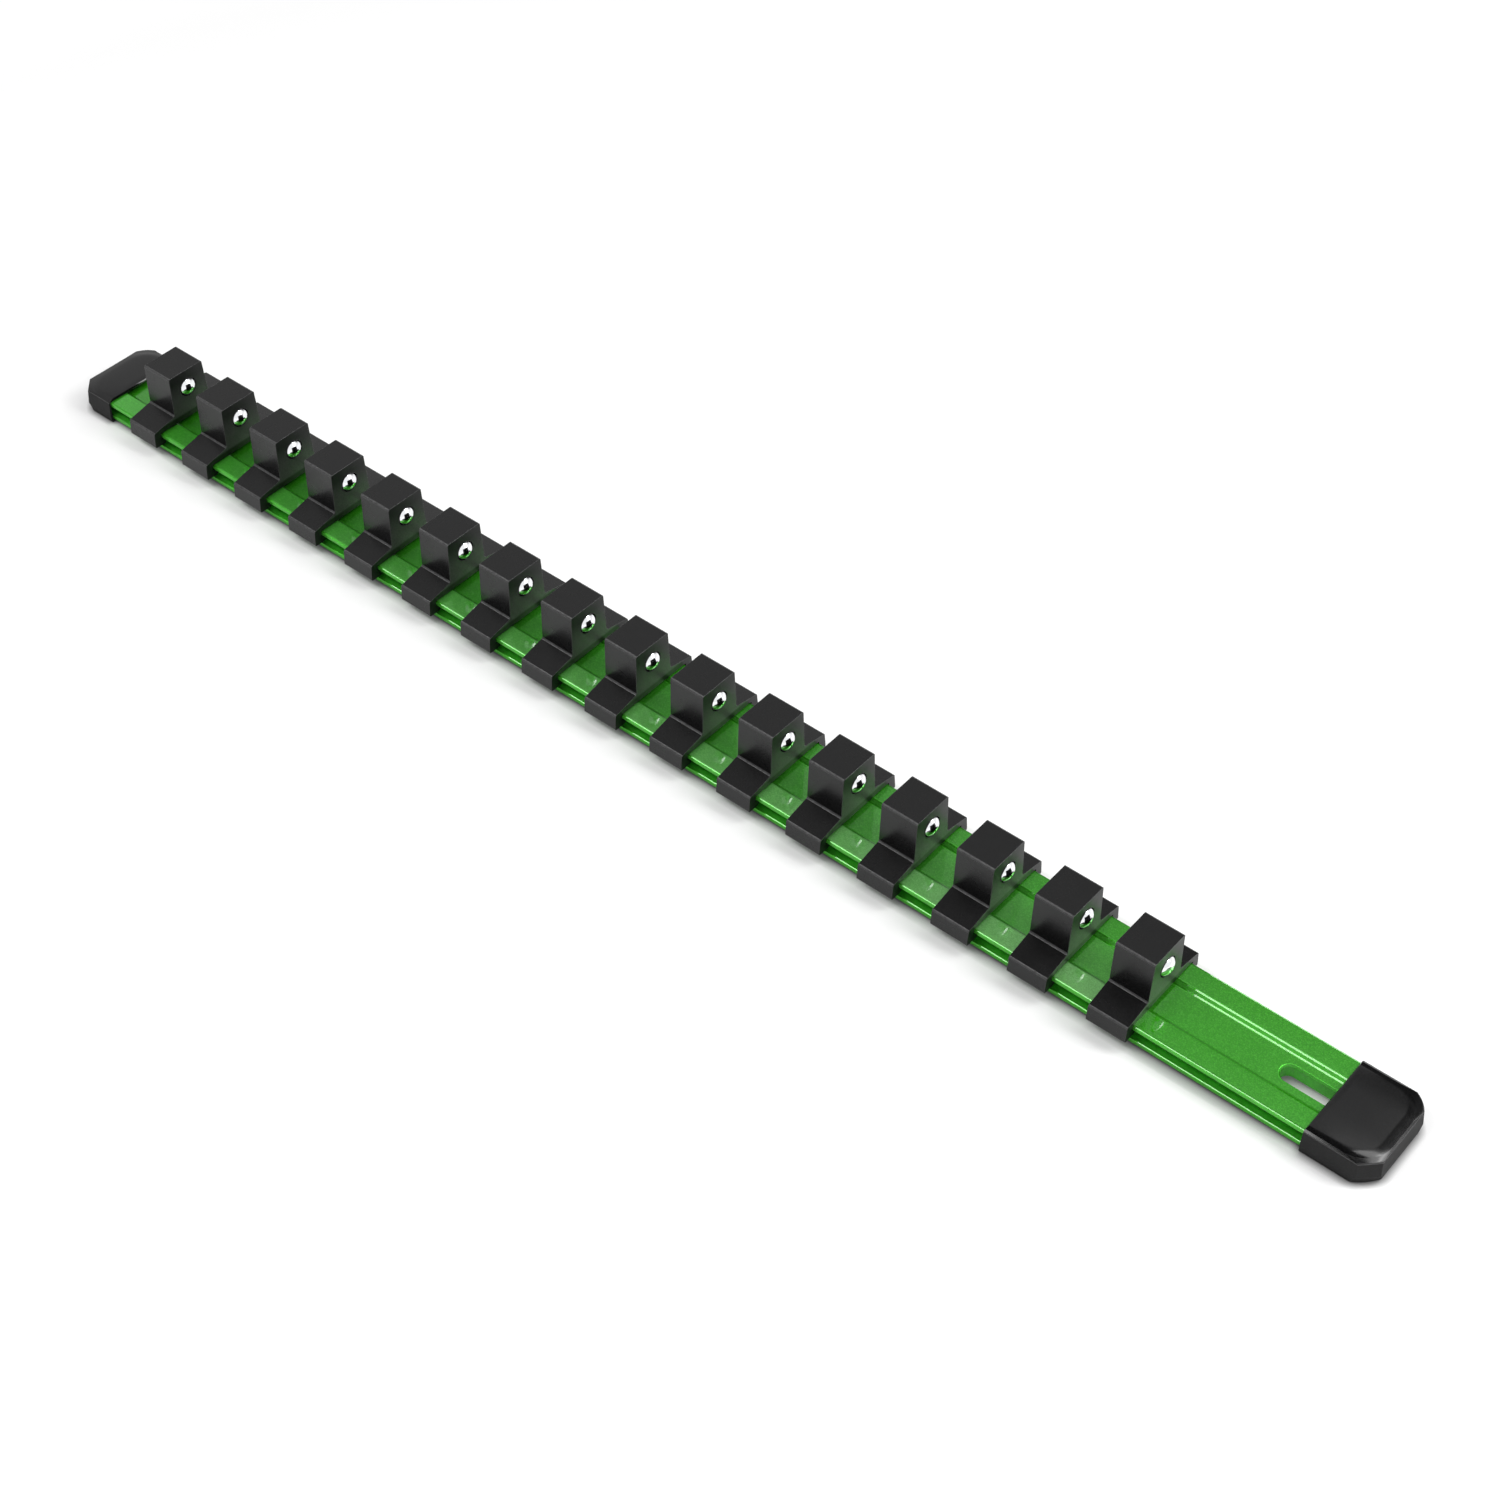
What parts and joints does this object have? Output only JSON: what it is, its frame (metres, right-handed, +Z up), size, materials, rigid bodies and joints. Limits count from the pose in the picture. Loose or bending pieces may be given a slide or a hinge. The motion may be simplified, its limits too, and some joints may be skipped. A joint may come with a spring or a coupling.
{
  "type": "socket rail",
  "caption": "Green anodised socket rail with a row of sliding black clips, each a square drive post with a sprung steel ball, and a moulded cap closing each end.",
  "frame": {"origin": "under the middle of the whole rail, in the plane that the end caps stand on", "axes": "+X along the rail towards the end with the hanging slot and the way the balls face, +Y across it, +Z up out of the posts"},
  "size_m": [0.4476, 0.031, 0.0231],
  "materials": {
    "green_anodised": "satin anodised",
    "black_moulding": "satin moulded",
    "polished_steel": "polished",
    "spring_steel": "drawn wire"
  },
  "bodies": {
    "rail_body": {"rail": "green_anodised", "end_cap_left": "black_moulding", "end_cap_right": "black_moulding"},
    "clip_01_body": {"clip_01": "black_moulding", "spring_01": "spring_steel"},
    "ball_01_body": {"ball_01": "polished_steel"},
    "clip_02_body": {"clip_02": "black_moulding", "spring_02": "spring_steel"},
    "ball_02_body": {"ball_02": "polished_steel"},
    "clip_03_body": {"clip_03": "black_moulding", "spring_03": "spring_steel"},
    "ball_03_body": {"ball_03": "polished_steel"},
    "clip_04_body": {"clip_04": "black_moulding", "spring_04": "spring_steel"},
    "ball_04_body": {"ball_04": "polished_steel"},
    "clip_05_body": {"clip_05": "black_moulding", "spring_05": "spring_steel"},
    "ball_05_body": {"ball_05": "polished_steel"},
    "clip_06_body": {"clip_06": "black_moulding", "spring_06": "spring_steel"},
    "ball_06_body": {"ball_06": "polished_steel"},
    "clip_07_body": {"clip_07": "black_moulding", "spring_07": "spring_steel"},
    "ball_07_body": {"ball_07": "polished_steel"},
    "clip_08_body": {"clip_08": "black_moulding", "spring_08": "spring_steel"},
    "ball_08_body": {"ball_08": "polished_steel"},
    "clip_09_body": {"clip_09": "black_moulding", "spring_09": "spring_steel"},
    "ball_09_body": {"ball_09": "polished_steel"},
    "clip_10_body": {"clip_10": "black_moulding", "spring_10": "spring_steel"},
    "ball_10_body": {"ball_10": "polished_steel"},
    "clip_11_body": {"clip_11": "black_moulding", "spring_11": "spring_steel"},
    "ball_11_body": {"ball_11": "polished_steel"},
    "clip_12_body": {"clip_12": "black_moulding", "spring_12": "spring_steel"},
    "ball_12_body": {"ball_12": "polished_steel"},
    "clip_13_body": {"clip_13": "black_moulding", "spring_13": "spring_steel"},
    "ball_13_body": {"ball_13": "polished_steel"},
    "clip_14_body": {"clip_14": "black_moulding", "spring_14": "spring_steel"},
    "ball_14_body": {"ball_14": "polished_steel"},
    "clip_15_body": {"clip_15": "black_moulding", "spring_15": "spring_steel"},
    "ball_15_body": {"ball_15": "polished_steel"},
    "clip_16_body": {"clip_16": "black_moulding", "spring_16": "spring_steel"},
    "ball_16_body": {"ball_16": "polished_steel"}
  },
  "joints": [
    {"name": "clip_01_slide", "type": "slide", "parent": "rail_body", "child": "clip_01_body", "axis": [1, 0, 0], "range_m": [-0.01195, 0.0102]},
    {"name": "clip_02_slide", "type": "slide", "parent": "rail_body", "child": "clip_02_body", "axis": [1, 0, 0], "range_m": [-0.0102, 0.0102]},
    {"name": "clip_03_slide", "type": "slide", "parent": "rail_body", "child": "clip_03_body", "axis": [1, 0, 0], "range_m": [-0.0102, 0.0102]},
    {"name": "clip_04_slide", "type": "slide", "parent": "rail_body", "child": "clip_04_body", "axis": [1, 0, 0], "range_m": [-0.0102, 0.0102]},
    {"name": "clip_05_slide", "type": "slide", "parent": "rail_body", "child": "clip_05_body", "axis": [1, 0, 0], "range_m": [-0.0102, 0.0102]},
    {"name": "clip_06_slide", "type": "slide", "parent": "rail_body", "child": "clip_06_body", "axis": [1, 0, 0], "range_m": [-0.0102, 0.0102]},
    {"name": "clip_07_slide", "type": "slide", "parent": "rail_body", "child": "clip_07_body", "axis": [1, 0, 0], "range_m": [-0.0102, 0.0102]},
    {"name": "clip_08_slide", "type": "slide", "parent": "rail_body", "child": "clip_08_body", "axis": [1, 0, 0], "range_m": [-0.0102, 0.0102]},
    {"name": "clip_09_slide", "type": "slide", "parent": "rail_body", "child": "clip_09_body", "axis": [1, 0, 0], "range_m": [-0.0102, 0.0102]},
    {"name": "clip_10_slide", "type": "slide", "parent": "rail_body", "child": "clip_10_body", "axis": [1, 0, 0], "range_m": [-0.0102, 0.0102]},
    {"name": "clip_11_slide", "type": "slide", "parent": "rail_body", "child": "clip_11_body", "axis": [1, 0, 0], "range_m": [-0.0102, 0.0102]},
    {"name": "clip_12_slide", "type": "slide", "parent": "rail_body", "child": "clip_12_body", "axis": [1, 0, 0], "range_m": [-0.0102, 0.0102]},
    {"name": "clip_13_slide", "type": "slide", "parent": "rail_body", "child": "clip_13_body", "axis": [1, 0, 0], "range_m": [-0.0102, 0.0102]},
    {"name": "clip_14_slide", "type": "slide", "parent": "rail_body", "child": "clip_14_body", "axis": [1, 0, 0], "range_m": [-0.0102, 0.0102]},
    {"name": "clip_15_slide", "type": "slide", "parent": "rail_body", "child": "clip_15_body", "axis": [1, 0, 0], "range_m": [-0.0102, 0.0102]},
    {"name": "clip_16_slide", "type": "slide", "parent": "rail_body", "child": "clip_16_body", "axis": [1, 0, 0], "range_m": [-0.0102, 0.04605]},
    {"name": "ball_01_press", "type": "slide", "parent": "clip_01_body", "child": "ball_01_body", "axis": [1, 0, 0], "range_m": [-0.0013, 0], "stiffness_N_per_m": 900, "deforming": ["spring_01"]},
    {"name": "ball_02_press", "type": "slide", "parent": "clip_02_body", "child": "ball_02_body", "axis": [1, 0, 0], "range_m": [-0.0013, 0], "stiffness_N_per_m": 900, "deforming": ["spring_02"]},
    {"name": "ball_03_press", "type": "slide", "parent": "clip_03_body", "child": "ball_03_body", "axis": [1, 0, 0], "range_m": [-0.0013, 0], "stiffness_N_per_m": 900, "deforming": ["spring_03"]},
    {"name": "ball_04_press", "type": "slide", "parent": "clip_04_body", "child": "ball_04_body", "axis": [1, 0, 0], "range_m": [-0.0013, 0], "stiffness_N_per_m": 900, "deforming": ["spring_04"]},
    {"name": "ball_05_press", "type": "slide", "parent": "clip_05_body", "child": "ball_05_body", "axis": [1, 0, 0], "range_m": [-0.0013, 0], "stiffness_N_per_m": 900, "deforming": ["spring_05"]},
    {"name": "ball_06_press", "type": "slide", "parent": "clip_06_body", "child": "ball_06_body", "axis": [1, 0, 0], "range_m": [-0.0013, 0], "stiffness_N_per_m": 900, "deforming": ["spring_06"]},
    {"name": "ball_07_press", "type": "slide", "parent": "clip_07_body", "child": "ball_07_body", "axis": [1, 0, 0], "range_m": [-0.0013, 0], "stiffness_N_per_m": 900, "deforming": ["spring_07"]},
    {"name": "ball_08_press", "type": "slide", "parent": "clip_08_body", "child": "ball_08_body", "axis": [1, 0, 0], "range_m": [-0.0013, 0], "stiffness_N_per_m": 900, "deforming": ["spring_08"]},
    {"name": "ball_09_press", "type": "slide", "parent": "clip_09_body", "child": "ball_09_body", "axis": [1, 0, 0], "range_m": [-0.0013, 0], "stiffness_N_per_m": 900, "deforming": ["spring_09"]},
    {"name": "ball_10_press", "type": "slide", "parent": "clip_10_body", "child": "ball_10_body", "axis": [1, 0, 0], "range_m": [-0.0013, 0], "stiffness_N_per_m": 900, "deforming": ["spring_10"]},
    {"name": "ball_11_press", "type": "slide", "parent": "clip_11_body", "child": "ball_11_body", "axis": [1, 0, 0], "range_m": [-0.0013, 0], "stiffness_N_per_m": 900, "deforming": ["spring_11"]},
    {"name": "ball_12_press", "type": "slide", "parent": "clip_12_body", "child": "ball_12_body", "axis": [1, 0, 0], "range_m": [-0.0013, 0], "stiffness_N_per_m": 900, "deforming": ["spring_12"]},
    {"name": "ball_13_press", "type": "slide", "parent": "clip_13_body", "child": "ball_13_body", "axis": [1, 0, 0], "range_m": [-0.0013, 0], "stiffness_N_per_m": 900, "deforming": ["spring_13"]},
    {"name": "ball_14_press", "type": "slide", "parent": "clip_14_body", "child": "ball_14_body", "axis": [1, 0, 0], "range_m": [-0.0013, 0], "stiffness_N_per_m": 900, "deforming": ["spring_14"]},
    {"name": "ball_15_press", "type": "slide", "parent": "clip_15_body", "child": "ball_15_body", "axis": [1, 0, 0], "range_m": [-0.0013, 0], "stiffness_N_per_m": 900, "deforming": ["spring_15"]},
    {"name": "ball_16_press", "type": "slide", "parent": "clip_16_body", "child": "ball_16_body", "axis": [1, 0, 0], "range_m": [-0.0013, 0], "stiffness_N_per_m": 900, "deforming": ["spring_16"]}
  ]
}
